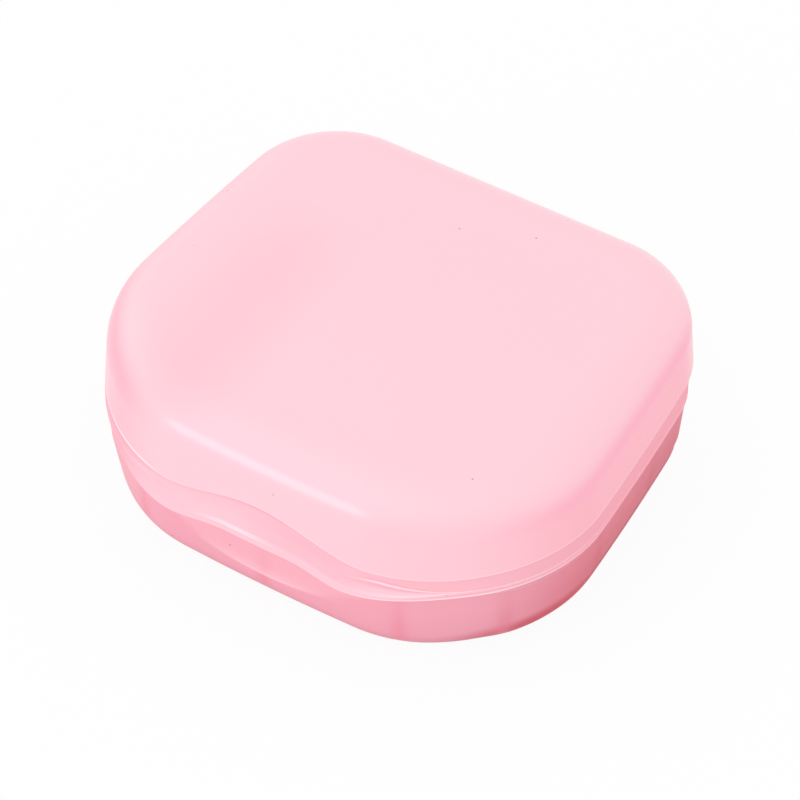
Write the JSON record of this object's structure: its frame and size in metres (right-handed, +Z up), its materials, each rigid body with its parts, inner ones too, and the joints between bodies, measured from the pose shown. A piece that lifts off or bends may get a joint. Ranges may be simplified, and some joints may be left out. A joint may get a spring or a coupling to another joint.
{
  "type": "hinged denture case",
  "caption": "Flat hinged case in frosted translucent plastic for a denture: domed lid with a thumb lip, ribbed base and a lift-out drain tray.",
  "frame": {"origin": "on the flat underside, midway between the sides and midway between the front and back walls of the plan outline", "axes": "+X to the right as seen from the lip side, -Y out of the front (lip side), +Y out of the hinge side, +Z up"},
  "size_m": [0.0844, 0.0768, 0.0327],
  "materials": {
    "base_plastic": "frosted translucent polypropylene, satin",
    "lid_plastic": "frosted translucent polypropylene, satin",
    "pin_steel": "drawn stainless wire",
    "tray_plastic": "natural frosted polypropylene with a trace of pink"
  },
  "bodies": {
    "base": {"base_shell": "base_plastic", "hinge_pin": "pin_steel"},
    "lid": {"lid_shell": "lid_plastic"},
    "tray": {"drain_tray": "tray_plastic"}
  },
  "joints": [
    {"name": "lid_hinge", "type": "hinge", "parent": "base", "child": "lid", "pos_m": [0, 0.0347, 0.0118], "axis": [-1, 0, 0], "range_deg": [0, 120]},
    {"name": "tray_lift", "type": "slide", "parent": "base", "child": "tray", "axis": [0, 0, 1], "range_m": [0, 0.018]}
  ]
}
